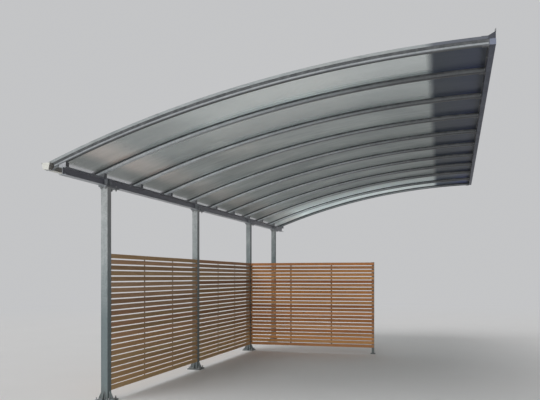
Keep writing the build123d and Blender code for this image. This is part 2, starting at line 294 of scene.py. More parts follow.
class Look(Nodes):
    """A node material that reads the part's own coordinates."""

    def __init__(self, name):
        self.material = bpy.data.materials.new(name)
        self.material.use_nodes = True
        super().__init__(self.material.node_tree)
        self.shader = self.tree.nodes["Principled BSDF"]
        self.output = self.tree.nodes["Material Output"]
        self.place = self.tree.nodes.new("ShaderNodeTexCoord").outputs["Object"]

    def axes(self, of=None):
        """X, Y and Z of the part's coordinates, or the three shares of a colour."""
        return self.node("ShaderNodeSeparateXYZ", Vector=of or self.place).outputs

    def stretched(self, x=1.0, y=1.0, z=1.0, of=None):
        """Coordinates multiplied on each axis."""
        return self.vector("MULTIPLY", of or self.place, (x, y, z))["Vector"]

    def noise(self, scale, at=None, detail=4.0, rough=0.55, warp=0.0):
        made = self.node("ShaderNodeTexNoise", Vector=at or self.place, Scale=scale)
        made.inputs["Detail"].default_value = detail
        made.inputs["Roughness"].default_value = rough
        made.inputs["Distortion"].default_value = warp
        return made.outputs["Fac"]

    def facing(self, axis, sign):
        """How far a face looks along an axis: 1 where it faces it squarely, 0 from the side."""
        normal = self.tree.nodes.new("ShaderNodeNewGeometry").outputs["Normal"]
        return self.ranged(self.times(self.axes(normal)[axis], sign), 0.55, 0.9)

    def below_roof(self):
        """Depth of a point under the curve of the rib tops."""
        middle = (crown_x, 0, curve_middle_z)
        distance = self.vector("DISTANCE", self.stretched(1, 0, 1), middle)["Value"]
        return self.math("SUBTRACT", ROOF_RADIUS, distance)

    def house_side(self):
        """1 along the wall, where painted shade of the house's own eave darkens the roof, and 0
        further out.
        """
        x, y = self.axes()[:2]
        skewed = self.added(y, HOUSE_EAVE_SKEW, x)
        start = wall_high.x - HOUSE_EAVE_STARTS
        return self.ranged(skewed, start, wall_high.x - HOUSE_EAVE_FULL)

    def bump(self, height, depth, strength=1.0):
        """Fine relief, for what is too small for the mesh."""
        made = self.node("ShaderNodeBump", Height=height)
        made.inputs["Distance"].default_value = depth
        made.inputs["Strength"].default_value = strength
        return made.outputs["Normal"]

    def finish(self, colour, rough, metal=0.0, normal=None, **numbers):
        """Feed the shader and give the material."""
        self.feed(self.shader.inputs["Base Color"], colour)
        self.feed(self.shader.inputs["Roughness"], rough)
        self.feed(self.shader.inputs["Metallic"], metal)
        if normal is not None:
            self.feed(self.shader.inputs["Normal"], normal)
        for name, value in numbers.items():
            self.shader.inputs[name.replace("_", " ")].default_value = value
        return self.material


# Zinc tone that darkens the posts towards the bottom, and as painted shade towards the back
DARKER_ZINC = (0.115, 0.152, 0.158)
SPLASHED_ZINC = (0.105, 0.10, 0.092)
CHALK_OVER_LIGHT = 1.25
# Band and strength of the painted shade on a rib's underside
UNDERSIDE_BAND = (RIB_DEPTH - 0.013, RIB_DEPTH - 0.008)
UNDERSIDE_SHARE = 0.9


def galvanised(
    name,
    dark,
    light,
    darkening_height=0.0,
    metal=0.2,
    rough=(0.62, 0.46),
    painted_side_shading=None,
    painted_underside_shade=None,
    eave_share=UNDERSIDE_SHARE,
    painted_light_and_shade_to_wall=None,
):
    """Hot-dip zinc: spangles, cloudy patches, runs down the steel, darker towards the bottom, and
    painted shade further back.

    painted_side_shading holds an axis, a sign and the tint painted on the faces that look that
    way: painted shade on inner faces, painted light on the wall beam's front faces.
    painted_underside_shade is the painted shade on a rib's underside, as strong at the eave as
    eave_share says, and painted_light_and_shade_to_wall holds the factors of a rib's tone at the
    eave and at the wall: painted light at the eave and painted shade at the wall.
    """
    look = Look(name)
    cells = look.node("ShaderNodeTexVoronoi", Vector=look.place, Scale=70.0)
    spangle = look.axes(cells.outputs["Color"])[0]
    clouds = look.noise(4.5, detail=5.0, warp=0.6)
    runs = look.noise(26.0, look.stretched(1, 1, 0.12), detail=3.0)
    tone = look.added(spangle, 0.16, look.times(clouds, 0.62))
    tone = look.added(runs, 0.30, tone)
    colour = look.ramp(tone, (0.34, dark), (0.70, light))
    chalk = look.ranged(look.noise(11.0, detail=6.0), 0.58, 0.78, 0.0, 0.4)
    colour = look.blended(chalk, colour, tuple(part * CHALK_OVER_LIGHT for part in light))
    # Painted shade on the faces that look one way; on the wall beam, painted light on its front
    # faces
    if painted_side_shading:
        axis, sign, tint = painted_side_shading
        colour = look.blended(look.times(look.facing(axis, sign), 0.9), colour, tint)
    # Painted shade on a rib's underside, weaker at the eave as eave_share says
    if painted_underside_shade:
        below = look.ranged(look.below_roof(), *UNDERSIDE_BAND)
        along = look.ranged(look.axes()[0], 0.8, 2.2, eave_share, UNDERSIDE_SHARE)
        colour = look.blended(look.times(below, along), colour, painted_underside_shade)
    # Painted light at the eave and painted shade towards the wall, as factors on the rib's colour
    if painted_light_and_shade_to_wall:
        colour = look.dimmed(colour, look.ranged(look.axes()[0], 0.5, 3.85, *painted_light_and_shade_to_wall))
    # Darker towards the bottom; the part that grows with each metre to the back is painted shade
    if darkening_height:
        height = look.axes()[2]
        reach = look.added(clouds, 0.6, height)
        reach = look.added(look.axes()[1], -0.12, reach)
        darker_low_and_back = look.ranged(reach, darkening_height * 0.5, darkening_height * 1.1, 0.9, 0.0)
        colour = look.blended(darker_low_and_back, colour, DARKER_ZINC)
        splash = look.ranged(look.added(runs, 0.35, height), 0.16, 0.42, 0.55, 0.0)
        colour = look.blended(splash, colour, SPLASHED_ZINC)
    roughness = look.ranged(tone, 0.3, 0.8, *rough)
    relief = look.math("ADD", look.times(spangle, 0.3), look.noise(180.0, detail=2.0))
    return look.finish(colour, roughness, metal, look.bump(relief, 0.0006, 0.5))


REDDENED = (1.0, 0.80, 0.72)
YELLOWED = (0.97, 1.0, 0.80)
DARK_GRAIN = (0.20, 0.105, 0.05)
KNOT = (0.11, 0.052, 0.026)
WEATHERED_LARCH = (0.36, 0.31, 0.26)


def larch(name, along, brown, pale, low_tint=None):
    """Larch slats: each row has its own tone, with grain, knots and weather marks."""
    look = Look(name)
    height = look.axes()[2]
    above = look.math("SUBTRACT", height, screen_low)
    row = look.math("FLOOR", look.math("DIVIDE", above, slat_pitch))
    screen = look.math("FLOOR", look.math("DIVIDE", look.axes()[1], post_spacing))
    seed = look.node("ShaderNodeCombineXYZ", X=row, Y=screen).outputs[0]
    own = look.axes(look.node("ShaderNodeTexWhiteNoise", Vector=seed).outputs["Color"])
    shifted = look.vector("MULTIPLY_ADD", seed, (3.7, 5.3, 0.0), look.place)["Vector"]

    def lengthwise(run, across):
        """Coordinates multiplied by one number along the slats and by another across them."""
        x, y = (run, across) if along == "X" else (across, run)
        return look.stretched(x, y, across, of=shifted)

    grain = look.noise(7.0, lengthwise(0.7, 16), detail=6.0, rough=0.7, warp=0.8)
    fine = look.noise(40.0, lengthwise(0.7, 16), detail=3.0)
    knots = look.node("ShaderNodeTexVoronoi", Vector=lengthwise(1.6, 3), Scale=2.1)
    knot = look.ranged(knots.outputs["Distance"], 0.03, 0.085, 0.85, 0.0)
    patches = look.noise(1.4, shifted, detail=3.0)
    tone = look.added(own[0], 0.42, look.times(grain, 0.5))
    tone = look.added(patches, 0.26, tone)
    colour = look.ramp(tone, (0.3, brown), (0.85, pale))
    redder = look.blended(0.7, colour, REDDENED, "MULTIPLY")
    colour = look.blended(look.ranged(own[1], 0.45, 0.9), colour, redder)
    yellower = look.blended(0.8, colour, YELLOWED, "MULTIPLY")
    colour = look.blended(look.ranged(own[2], 0.55, 0.95), colour, yellower)
    colour = look.blended(look.ranged(fine, 0.55, 0.75, 0.0, 0.3), colour, DARK_GRAIN)
    colour = look.blended(knot, colour, KNOT)
    if low_tint:
        colour = look.blended(look.ranged(height, 0.3, 1.1, 0.5, 0.0), colour, low_tint)
    weather = look.ranged(look.noise(2.6, shifted, detail=5.0), 0.55, 0.8, 0.0, 0.25)
    colour = look.blended(weather, colour, WEATHERED_LARCH)
    rough = look.ranged(grain, 0.3, 0.7, 0.62, 0.78)
    relief = look.bump(grain, 0.0012, 0.55)
    return look.finish(colour, rough, 0.0, relief, Specular_IOR_Level=0.35)


DUST_ON_METAL = (0.36, 0.36, 0.33)


def drawn_metal(name, dark, light, metal, rough, house_shade_tint):
    """Extruded metal with faint lines along it, water marks and dust, and painted shade of the
    house's eave near the wall.
    """
    look = Look(name)
    lines = look.noise(60.0, look.stretched(0.04, 1, 1), detail=3.0)
    marks = look.noise(5.0, detail=6.0, warp=1.0)
    tone = look.added(lines, 0.45, look.times(marks, 0.55))
    colour = look.ramp(tone, (0.34, dark), (0.68, light))
    dust = look.ranged(look.noise(1.7, detail=5.0), 0.5, 0.75, 0.0, 0.3)
    colour = look.blended(dust, colour, DUST_ON_METAL)
    # Painted shade of the house's eave on faces near the wall that do not look up
    not_up = look.added(look.facing(2, 1), -0.8, 0.8)
    colour = look.blended(look.times(look.house_side(), not_up), colour, house_shade_tint)
    roughness = look.ranged(marks, 0.3, 0.7, rough - 0.08, rough + 0.14)
    return look.finish(colour, roughness, metal, look.bump(lines, 0.0003, 0.4))


def rubber():
    """Black sealing rubber, greyed by dust."""
    look = Look("gasket_rubber")
    dust = look.noise(14.0, detail=6.0)
    colour = look.ramp(dust, (0.4, (0.06, 0.064, 0.068)), (0.75, (0.14, 0.145, 0.15)))
    rough = look.ranged(dust, 0.3, 0.7, 0.62, 0.85)
    relief = look.bump(dust, 0.0005, 0.4)
    return look.finish(colour, rough, 0.0, relief, Specular_IOR_Level=0.3)


def painted(name, colour, worn, rough, painted_shade=None):
    """Coated sheet metal with streaks of dirt and dulled patches, and painted shade on the faces
    that look towards the wall.
    """
    look = Look(name)
    streaks = look.noise(16.0, look.stretched(1, 1, 0.2), detail=4.0)
    clouds = look.noise(3.0, detail=5.0)
    tone = look.added(streaks, 0.5, look.times(clouds, 0.5))
    shade = look.ramp(tone, (0.36, colour), (0.66, worn))
    # Painted shade on the faces that look towards the wall
    if painted_shade:
        shade = look.blended(look.times(look.facing(0, 1), 0.85), shade, painted_shade)
    roughness = look.ranged(clouds, 0.3, 0.7, rough, rough + 0.2)
    return look.finish(shade, roughness, 0.1, look.bump(streaks, 0.0003, 0.3))


def painted_sheet_shading(look, x, y):
    """How far painted shade and light change the sheets: below 1 where darker, above 1 where
    lighter.

    From the second bay on there is painted light near the eave and painted shade that grows
    towards the wall. The first bay is lighter in the middle of its run, and the first two are
    darker near the eave, at its edge and at the top.
    """
    # Painted light near the eave and painted shade that grows towards the wall
    painted_shading = look.times(look.ranged(x, 0.4, 1.1, 1.27, 1.0), look.ranged(x, 1.1, 3.6, 0.81, 0.69))
    painted_shading = look.where(look.ranged(y, 0.0, 2.6), painted_shading)
    lighter_middle = look.band(x, (1.2, 1.7), (3.1, 3.7))
    painted_shading = look.math("ADD", painted_shading, look.times(lighter_middle, look.ranged(y, -0.25, 0.0, 0.32, 0.0)))
    darker_bands = look.band(x, (0.40, 0.62), (1.0, 1.35), 0.22)
    darker_bands = look.math("ADD", darker_bands, look.ranged(x, 0.10, 0.24, 0.2, 0.0))
    darker_bands = look.math("ADD", darker_bands, look.ranged(x, 2.7, 3.4, 0.0, 0.15))
    darker_bands = look.times(darker_bands, look.ranged(y, 1.0, 2.0, 1.0, 0.0))
    return look.times(painted_shading, look.math("SUBTRACT", 1.0, darker_bands))


EAVE_DAMP = (0.20, 0.19, 0.18)
# Painted reflection of an orange house, on the sheets near the eave
REFLECTED_HOUSE_TONE = (0.62, 0.485, 0.43)
EARTHY = (0.53, 0.50, 0.46)


def stains_and_reflection(look, colour, x, y, clouds, reach):
    """The sheets' colour with the damp along the eave, a band of painted reflection near it and a
    band of stains further up.
    """
    colour = look.blended(look.ranged(reach, 0.35, 1.0, 0.6, 0.0), colour, EAVE_DAMP)
    # Painted reflection of an orange house, in a band near the eave
    near = look.band(x, (0.08, 0.22), (0.38, 0.66))
    near = look.times(near, look.ranged(clouds, 0.38, 0.6, 0.55, 1.0))
    near = look.times(near, look.ranged(y, 0.9, 2.2, 0.62, 0.25))
    colour = look.blended(near, colour, REFLECTED_HOUSE_TONE)
    far = look.band(x, (1.0, 1.35), (1.35, 2.4), 0.45)
    far = look.times(far, look.ranged(clouds, 0.42, 0.66))
    far = look.times(far, look.ranged(y, 1.9, 3.4, 0.9, 0.2))
    return look.blended(far, colour, EARTHY)


# Colours of the sheets, with light coming through them and as the milky film on their walls
LIT_DARK = (0.225, 0.25, 0.257)
LIT_PALE = (0.42, 0.45, 0.447)
MILKY_DARK = (0.40, 0.43, 0.42)
MILKY_PALE = (0.62, 0.64, 0.61)
FLUTE_SHADE = (0.10, 0.11, 0.115)
# Painted light on the sheets' lower faces beyond the eave beam
OUTER_LIP = (0.62, 0.585, 0.64)
CLEAR = (0.94, 0.96, 0.95)
GLOSS = (0.9, 0.92, 0.92, 1)

# Painted shade of the house's eave on the sheets' lower faces, with the dark eave and the
# blue wall painted as seen through them
HOUSE_EAVE_LIT = (0.043, 0.054, 0.076)
HOUSE_WALL_LIT = (0.034, 0.042, 0.125)
HOUSE_MILKY = (0.09, 0.112, 0.18)


def multiwall(name):
    """Clear multiwall sheet: fluted, greyed by dust, with damp, stains and a painted reflection
    along the eave.

    It is see-through where one looks at it squarely, and milky where one looks along it. Its
    lower faces carry painted shade near the wall, and painted light along the ribs, beyond the
    eave beam and, as a painted reflection of the sky, over the last two bays.
    """
    look = Look(name)
    x, y = look.axes()[:2]
    wave = look.math("COSINE", look.times(y, 2 * pi / FLUTE_PITCH))
    flute = look.math("POWER", look.added(wave, 0.5, 0.5), 6.0)
    clouds = look.noise(1.1, look.stretched(0.7, 1.3, 1), detail=4.0, warp=0.5)
    streaks = look.noise(9.0, look.stretched(0.12, 1.6, 1), detail=5.0)
    tone = look.added(clouds, 0.5, look.times(streaks, 0.42))
    tone = look.added(look.noise(120.0, detail=2.0), 0.08, tone)
    lit = look.ramp(tone, (0.32, LIT_DARK), (0.70, LIT_PALE))
    milky = look.ramp(tone, (0.32, MILKY_DARK), (0.70, MILKY_PALE))

    # Painted shade of the house's eave, with its eave and blue wall painted as seen through, near
    # the wall
    house_side = look.house_side()
    lower_face = look.facing(2, -1)
    darkened = look.times(house_side, lower_face, 0.84)
    to_wall = look.ranged(x, wall_high.x - 0.65, wall_high.x - 0.1)
    house_lit = look.ramp(to_wall, (0.2, HOUSE_EAVE_LIT), (0.8, HOUSE_WALL_LIT))
    lit = look.blended(darkened, lit, house_lit)
    milky = look.blended(darkened, milky, HOUSE_MILKY)

    painted_shading = look.where(lower_face, painted_sheet_shading(look, x, y))
    milky = look.dimmed(milky, painted_shading)
    from_rib = look.math("SUBTRACT", y, rib_places[1])
    from_rib = look.math("PINGPONG", from_rib, rib_spacing / 2)
    # Painted light on the lower faces along the ribs, where the sheets would look darker
    painted_light_near_ribs = look.times(look.ranged(from_rib, 0.05, 0.11, 1.3, 0.0), lower_face)
    painted_shading = look.times(painted_shading, look.math("ADD", painted_light_near_ribs, 1.0))
    # Painted reflection of the sky, lighter over the last bays
    painted_sky_reflection = look.ranged(y, rib_places[8] - 0.05, rib_places[9] + 0.35)
    painted_sky_reflection = look.times(painted_sky_reflection, lower_face, look.ranged(x, 2.0, 4.0, 2.4, 1.8))
    lit = look.dimmed(lit, look.math("ADD", painted_shading, painted_sky_reflection))

    reach = look.added(clouds, 0.7, x)
    lit = stains_and_reflection(look, lit, x, y, clouds, reach)
    # Painted light on the lower faces beyond the eave beam, where they are also more see-through
    outside = look.ranged(x, beam_low.x - 0.015, beam_low.x - 0.035)
    lit = look.blended(look.times(outside, lower_face, 0.8), lit, OUTER_LIP)
    lit = look.blended(look.times(flute, 0.4), lit, FLUTE_SHADE)

    through = look.node("ShaderNodeBsdfTranslucent", Color=lit)
    back = look.node("ShaderNodeBsdfDiffuse", Color=milky)
    clear = look.node("ShaderNodeBsdfTransparent", Color=look.blended(0.12, CLEAR, milky))
    gloss = look.node("ShaderNodeBsdfGlossy", Color=GLOSS, Roughness=0.22)
    body = look.mixed(0.35, through.outputs[0], back.outputs[0])
    slant = look.node("ShaderNodeLayerWeight", Blend=0.5).outputs["Facing"]
    steep = look.ranged(slant, 0.69, 0.785, 0.92, 0.03)
    seen_through = look.times(
        look.math("MINIMUM", steep, look.ranged(slant, 0.2, 0.6, 0.6, 0.92)),
        look.added(flute, -0.35, 1.0),
        look.ranged(reach, 0.6, 2.6, 0.5, 1.0),
        look.added(house_side, -0.85, 1.0),
        look.ranged(from_rib, 0.085, 0.125),
    )
    seen_through = look.math("MAXIMUM", seen_through, look.times(outside, 0.6))
    body = look.mixed(seen_through, body, clear.outputs[0])
    glance = look.added(look.math("POWER", slant, 5.0), 0.29, 0.01)
    surface = look.mixed(glance, body, gloss.outputs[0])
    look.feed(look.output.inputs["Surface"], surface)
    look.tree.nodes.remove(look.shader)
    return look.material


# Posts: painted shade on the faces that look to the wall, and darker towards the bottom and, as
# painted shade, further back
post_steel = galvanised(
    "post_steel",
    (0.34, 0.365, 0.37),
    (0.56, 0.585, 0.585),
    darkening_height=2.7,
    painted_side_shading=(0, 1, (0.23, 0.235, 0.24)),
)
# Beam: a darker copy of the post steel, as painted shade, with painted shade on its inner faces
beam_steel = galvanised(
    "beam_steel",
    (0.22, 0.235, 0.255),
    (0.36, 0.385, 0.405),
    rough=(0.42, 0.30),
    painted_side_shading=(0, 1, (0.098, 0.098, 0.122)),
)
# Outermost ribs: a darker copy of the rib steel, as painted shade
rib_steel = galvanised(
    "rib_steel",
    (0.22, 0.238, 0.252),
    (0.33, 0.352, 0.366),
    painted_underside_shade=(0.06, 0.065, 0.07),
)
# Inner ribs: a lighter copy of the rib steel, as painted light
inner_rib_steel = galvanised(
    "inner_rib_steel",
    (0.30, 0.32, 0.335),
    (0.43, 0.455, 0.47),
    painted_underside_shade=(0.16, 0.167, 0.18),
    eave_share=0.5,
    painted_light_and_shade_to_wall=(1.75, 0.35),
)
# Post heads: a darker copy of the zinc, as painted shade, with painted shade on inner faces
head_steel = galvanised(
    "head_steel",
    (0.17, 0.185, 0.20),
    (0.30, 0.32, 0.335),
    painted_side_shading=(0, 1, (0.12, 0.125, 0.14)),
)
# Rib seats: a darker copy of the zinc, as painted shade, with near-black painted shade on inner
# faces
seat_steel = galvanised(
    "seat_steel",
    (0.24, 0.25, 0.27),
    (0.38, 0.39, 0.41),
    painted_side_shading=(0, 1, (0.05, 0.053, 0.06)),
)
# Cleats: near black, as painted shade in the corner at the wall
cleat_steel = galvanised("cleat_steel", (0.05, 0.052, 0.058), (0.10, 0.105, 0.115))
# Wall beam: dark and blue, as painted shade and a painted reflection of the blue wall, with
# painted light on its front faces
wall_steel = galvanised(
    "wall_steel",
    (0.052, 0.06, 0.086),
    (0.086, 0.096, 0.13),
    painted_side_shading=(1, -1, (0.175, 0.195, 0.26)),
)
# Uprights: dark brown, as painted shade and a painted reflection of the larch around them
upright_steel = galvanised("upright_steel", (0.10, 0.085, 0.070), (0.18, 0.155, 0.13))
bolt_steel = galvanised("bolt_steel", (0.22, 0.23, 0.24), (0.38, 0.39, 0.39), metal=0.5)
aluminium = drawn_metal(
    "aluminium_bar",
    (0.215, 0.235, 0.24),
    (0.33, 0.355, 0.36),
    metal=0.3,
    rough=0.42,
    house_shade_tint=(0.05, 0.055, 0.08),
)
gutter_metal = painted(
    "gutter_metal",
    (0.70, 0.70, 0.66),
    (0.56, 0.56, 0.51),
    rough=0.35,
    painted_shade=(0.17, 0.16, 0.15),
)
flashing_metal = painted(
    "flashing_metal",
    (0.022, 0.025, 0.037),
    (0.055, 0.06, 0.075),
    rough=0.4,
)
gasket_rubber = rubber()
roof_sheet = multiwall("roof_sheet")
# Side screens: a darker copy of the larch, as painted shade
side_larch = larch(
    "side_larch",
    "Y",
    (0.215, 0.113, 0.058),
    (0.48, 0.31, 0.183),
    low_tint=(0.58, 0.38, 0.17),
)
# Return screen: a lighter copy of the larch, as painted light
return_larch = larch("return_larch", "X", (0.345, 0.136, 0.048), (0.73, 0.37, 0.152))

# Finish of the CAD nodes, by their names without the number. The outermost ribs have their own,
# darker copy of the rib steel, as painted shade.
FINISHES = {
    "post": post_steel,
    "post_base": post_steel,
    "post_head": head_steel,
    "eave_beam": beam_steel,
    "wall_beam": wall_steel,
    "rib": inner_rib_steel,
    "rib_seats": seat_steel,
    "rib_cleats": cleat_steel,
    "rib_gaskets": gasket_rubber,
    "roof_sheet": roof_sheet,
    "glazing_bars": aluminium,
    "edge_bars": aluminium,
    "gutter": gutter_metal,
    "gutter_straps": beam_steel,
    "wall_flashing": flashing_metal,
    "side_screen": side_larch,
    "side_uprights": upright_steel,
    "return_screen": return_larch,
    "return_uprights": upright_steel,
    "return_post": post_steel,
}
OUTER_RIBS = ("rib_1", "rib_11")
for name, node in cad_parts.items():
    look = rib_steel if name in OUTER_RIBS else FINISHES[name.rstrip("_0123456789")]
    node.data.materials.clear()
    node.data.materials.append(look)

# Slatted screens
SLAT_STEPS = 8
MOST_SAG = 0.0012
MOST_TRIM = 0.003
RIPPLE = 0.0005
SLAT_SCREW = (
    (0.0042, -0.001),
    (0.0042, 0.0004),
    (0.0030, 0.0012),
    (0.0016, 0.0012),
    (0.0012, -0.0002),
)
SLAT_SCREW_LEVELS = (0.014, 0.036)
SLAT_SCREW_STRAY = 0.004


def rounded_outline(corners, radius):
    """Corners of a profile with each one cut back twice, as a worn edge."""
    outline = []
    count = len(corners)
    for index, corner in enumerate(corners):
        corner = Vector(corner)
        before = (Vector(corners[index - 1]) - corner).normalized()
        after = (Vector(corners[(index + 1) % count]) - corner).normalized()
        outline.append(corner + before * radius)
        outline.append(corner + (before + after) * radius * 0.3)
        outline.append(corner + after * radius)
    return outline


def slats(name, end, along, outward, run, look, node, fixings):
    """Rows of planed slats that stand for a screen's own, each a little bowed, with screws."""
    corners = (
        (0, -SLAT_OVERREACH),
        (0, SLAT_HEIGHT - SLAT_BEVEL + SLAT_OVERREACH),
        (-SLAT_THICK, SLAT_HEIGHT + SLAT_OVERREACH),
        (-SLAT_THICK, SLAT_BEVEL - SLAT_OVERREACH),
    )
    outline = rounded_outline(corners, SLAT_EASING)
    bm = bmesh.new()
    for row in range(SLAT_COUNT):
        sag = chance.uniform(-MOST_SAG, MOST_SAG)
        wave = chance.uniform(0, 2 * pi)
        trim = chance.uniform(0, MOST_TRIM)
        rings = []
        for step in range(SLAT_STEPS + 1):
            share = step / SLAT_STEPS
            place = end + along * (trim + (run - 2 * trim) * share)
            lift = sag * sin(pi * share) + RIPPLE * sin(3 * pi * share + wave)
            rise = row * slat_pitch + lift
            rings.append([place + outward * a + UP * (b + rise) for a, b in outline])
        loft(bm, rings)
    screen = finished(name, bm, look, smooth=40)
    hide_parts(node)
    bm = bmesh.new()
    for row in range(SLAT_COUNT):
        for place in fixings:
            for level in SLAT_SCREW_LEVELS:
                stray = chance.uniform(-SLAT_SCREW_STRAY, SLAT_SCREW_STRAY)
                spot = end + along * (place + stray)
                spot += UP * (row * slat_pitch + level)
                turned(bm, spot, outward, SLAT_SCREW, 8, chance.uniform(0, 1))
    finished(name + "_screws", bm, bolt_steel, smooth=35)


def upright_middles(run):
    """Middles of a screen's uprights, from its end, for a screen of this length."""
    step = (run - UPRIGHT_WIDTH) / (UPRIGHT_COUNT - 1)
    return [UPRIGHT_WIDTH / 2 + index * step for index in range(UPRIGHT_COUNT)]


for number in (1, 2):
    low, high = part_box(f"side_screen_{number}")
    slats(
        f"slats_side_{number}",
        Vector((high.x, low.y, low.z)),
        TO_BACK,
        TO_WALL,
        high.y - low.y,
        side_larch,
        f"side_screen_{number}",
        upright_middles(high.y - low.y),
    )
low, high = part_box("return_screen")
return_low, return_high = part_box("return_post")
return_middle = (return_low + return_high) / 2
slats(
    "slats_return",
    Vector((low.x, low.y, low.z)),
    TO_WALL,
    TO_FRONT,
    high.x - low.x,
    return_larch,
    "return_screen",
    upright_middles(high.x - low.x)[:-1] + [return_middle.x - low.x],
)

# Bolts, nuts and anchors: widths across flats, heights, and radii of washers and threads
M16_NUT = {"flats": 0.024, "height": 0.013, "washer": 0.015, "thread": 0.008}
M16_BOLT_HEAD = {"flats": 0.024, "height": 0.010, "washer": 0.015}
M10_BOLT_HEAD = {"flats": 0.017, "height": 0.007, "washer": 0.011, "washer_height": 0.002}
WALL_BOLT_HEAD = {"flats": 0.017, "height": 0.007, "washer": 0.013, "washer_height": 0.0025}
M8_NUT = {
    "flats": 0.013,
    "height": 0.0065,
    "washer": 0.008,
    "washer_height": 0.0016,
    "thread": 0.004,
}
THREAD_PITCH = 0.002
WASHER_RIM = 0.0006
HEAD_STUD = 0.011
ANCHOR_STUD = 0.022
RETURN_STUD = 0.010


def hexagon(
    bm,
    base,
    axis,
    flats,
    height,
    washer,
    washer_height=0.003,
    thread=0.0,
    thread_length=0.0,
):
    """Washer and a chamfered hexagon on it, with a stud through it where thread is given."""
    spin = chance.uniform(0, pi / 3)
    disc = (
        (washer - WASHER_RIM, 0),
        (washer, WASHER_RIM),
        (washer, washer_height - WASHER_RIM),
        (washer - WASHER_RIM, washer_height),
    )
    turned(bm, base, axis, disc, 20)
    radius = flats / sqrt(3)
    chamfer = radius * 0.08
    foot = base + axis * washer_height
    outline = ((radius, 0), (radius, height - chamfer), (radius - chamfer * 1.4, height))
    turned(bm, foot, axis, outline, 6, spin)
    if thread:
        outline = [(thread * 0.9, 0)]
        for turn in range(int(thread_length / THREAD_PITCH)):
            outline.append((thread, (turn + 0.4) * THREAD_PITCH))
            outline.append((thread * 0.88, (turn + 0.9) * THREAD_PITCH))
        outline.append((thread * 0.7, thread_length))
        turned(bm, foot + axis * height, axis, outline, 12)


HEAD_PLATE = 0.020
HEAD_BOLTS_Y = (-0.073, 0.205)
HEAD_BOLT_X = 0.032
FLANGE = 0.008
head_plate_low = head_high.z - HEAD_PLATE
bm = bmesh.new()
for post_y in post_places:
    for ahead in HEAD_BOLTS_Y:
        for side in (-HEAD_BOLT_X, HEAD_BOLT_X):
            under = Vector((side, post_y + ahead, head_plate_low))
            hexagon(bm, under, DOWN, **M16_NUT, thread_length=HEAD_STUD)
            over = Vector((side, post_y + ahead, beam_low.z + FLANGE))
            hexagon(bm, over, UP, **M16_BOLT_HEAD)
finished("head_bolts", bm, bolt_steel, smooth=30)

BASE_THICK = 0.015
ANCHOR_OFFSET = 0.090
RETURN_BASE_THICK = 0.008
RETURN_ANCHOR_OFFSET = 0.037
bm = bmesh.new()
for post_y in post_places:
    for x in (-ANCHOR_OFFSET, ANCHOR_OFFSET):
        for y in (-ANCHOR_OFFSET, ANCHOR_OFFSET):
            spot = Vector((x, post_y + y, BASE_THICK))
            hexagon(bm, spot, UP, **M16_NUT, thread_length=ANCHOR_STUD)
for x in (-RETURN_ANCHOR_OFFSET, RETURN_ANCHOR_OFFSET):
    for y in (-RETURN_ANCHOR_OFFSET, RETURN_ANCHOR_OFFSET):
        spot = Vector((return_middle.x + x, return_middle.y + y, RETURN_BASE_THICK))
        hexagon(bm, spot, UP, **M8_NUT, thread_length=RETURN_STUD)
finished("anchor_bolts", bm, bolt_steel, smooth=30)

CLEAT_WIDTH = 0.110
CLEAT_SHELF = 0.008
CLEAT_BOLT_OFFSET = 0.040
cleat_foot = roof_point(rib_high.x, 0, -RIB_DEPTH).z - CLEAT_SHELF
cleat_bolt_z = (wall_high.z + cleat_foot) / 2
bm = bmesh.new()
for rib_y in rib_places:
    middle = min(max(rib_y, beam_low.y + CLEAT_WIDTH / 2), beam_high.y - CLEAT_WIDTH / 2)
    for side in (-CLEAT_BOLT_OFFSET, CLEAT_BOLT_OFFSET):
        spot = Vector((rib_high.x, middle + side, cleat_bolt_z))
        hexagon(bm, spot, TO_POSTS, **M10_BOLT_HEAD)
for near, far in bays:
    spot = Vector((wall_low.x, (near + far) / 2, (wall_low.z + wall_high.z) / 2))
    hexagon(bm, spot, TO_POSTS, **WALL_BOLT_HEAD)
finished("cleat_bolts", bm, bolt_steel, smooth=30)

# Roof: the gaskets' lips on the ribs' sides, which hang lower on the outermost ribs
CURVE_STEPS = 32
INNER_LIP_DROP = 0.014
OUTER_LIP_DROP = 0.022
LIP_SHORT = 0.001
bm = bmesh.new()
for number, (low, high) in enumerate(RIBS, 1):
    drop = OUTER_LIP_DROP if f"rib_{number}" in OUTER_RIBS else INNER_LIP_DROP
    outline = (
        (0.0002, GASKET),
        (0.0018, GASKET - 0.001),
        (0.0018, 0.004 - drop),
        (0.0026, 0.002 - drop),
        (0.0016, -drop),
        (0.0002, -drop),
    )
    for face, outward in ((low.y, -1), (high.y, 1)):
        rings = []
        for x in evenly(low.x, high.x - LIP_SHORT, CURVE_STEPS):
            rings.append([roof_point(x, face + outward * out, offset) for out, offset in outline])
        loft(bm, rings)
finished("gasket_sides", bm, gasket_rubber, smooth=40)


def across_bay(bm, near, far, outline):
    """Strip between the bars on two ribs: an outline of (x, offset) along the bay."""
    rings = []
    for y in (near + BAR_HALF, far - BAR_HALF):
        rings.append([roof_point(x, y, offset) for x, offset in outline])
    loft(bm, rings)


# Closers on the sheets' lower ends, a U of thin metal round each
CLOSER_REACH = 0.028
CLOSER_METAL = 0.0015
lip = sheet_low.x - CLOSER_METAL
closer = (
    (lip + CLOSER_REACH, GASKET - CLOSER_METAL),
    (lip, GASKET - CLOSER_METAL),
    (lip, SHEET_TOP + CLOSER_METAL),
    (lip + CLOSER_REACH, SHEET_TOP + CLOSER_METAL),
    (lip + CLOSER_REACH, SHEET_TOP),
    (lip + CLOSER_METAL, SHEET_TOP),
    (lip + CLOSER_METAL, GASKET),
    (lip + CLOSER_REACH, GASKET),
)
bm = bmesh.new()
for near, far in bays:
    across_bay(bm, near, far, closer)
finished("sheet_closers", bm, aluminium)

